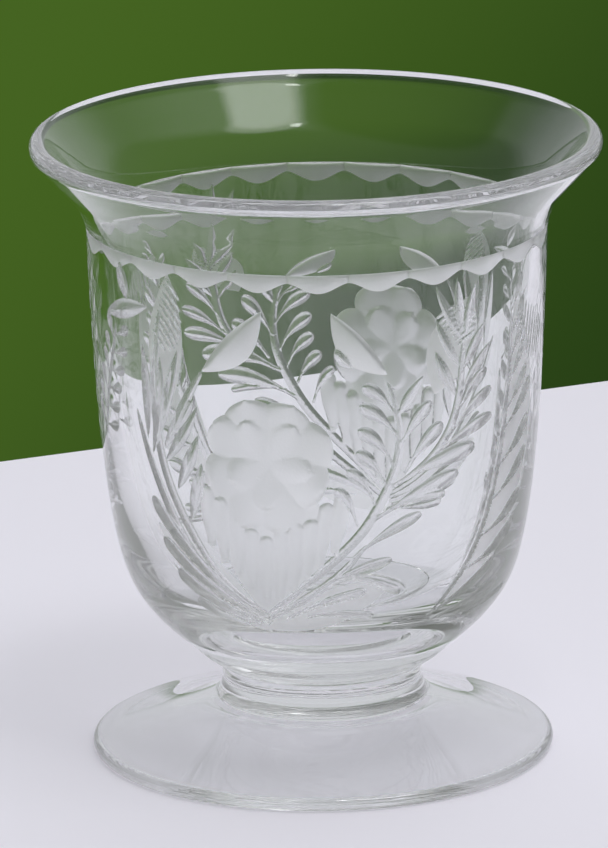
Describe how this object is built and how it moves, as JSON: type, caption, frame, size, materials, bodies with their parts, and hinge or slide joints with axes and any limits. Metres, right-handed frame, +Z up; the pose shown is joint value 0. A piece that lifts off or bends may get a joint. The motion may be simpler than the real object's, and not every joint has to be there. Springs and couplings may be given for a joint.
{
  "type": "shot glass",
  "caption": "Small footed drinking glass with a rounded, flared bowl, a thin collar, a short stem and a round foot.",
  "frame": {"origin": "on the table, under the middle of the foot", "axes": "+Z up along the glass's own axis; the front spray of flowers faces -Y"},
  "size_m": [0.052, 0.052, 0.0578],
  "materials": {
    "bowl": "clear polished glass with frosted wheel-cut flower sprays and a scalloped border outside",
    "merese": "clear fire-polished glass",
    "stem": "clear fire-polished glass",
    "foot": "clear fire-polished glass"
  },
  "bodies": {
    "root": {"bowl": "bowl", "merese": "merese", "stem": "stem", "foot": "foot"}
  },
  "joints": []
}
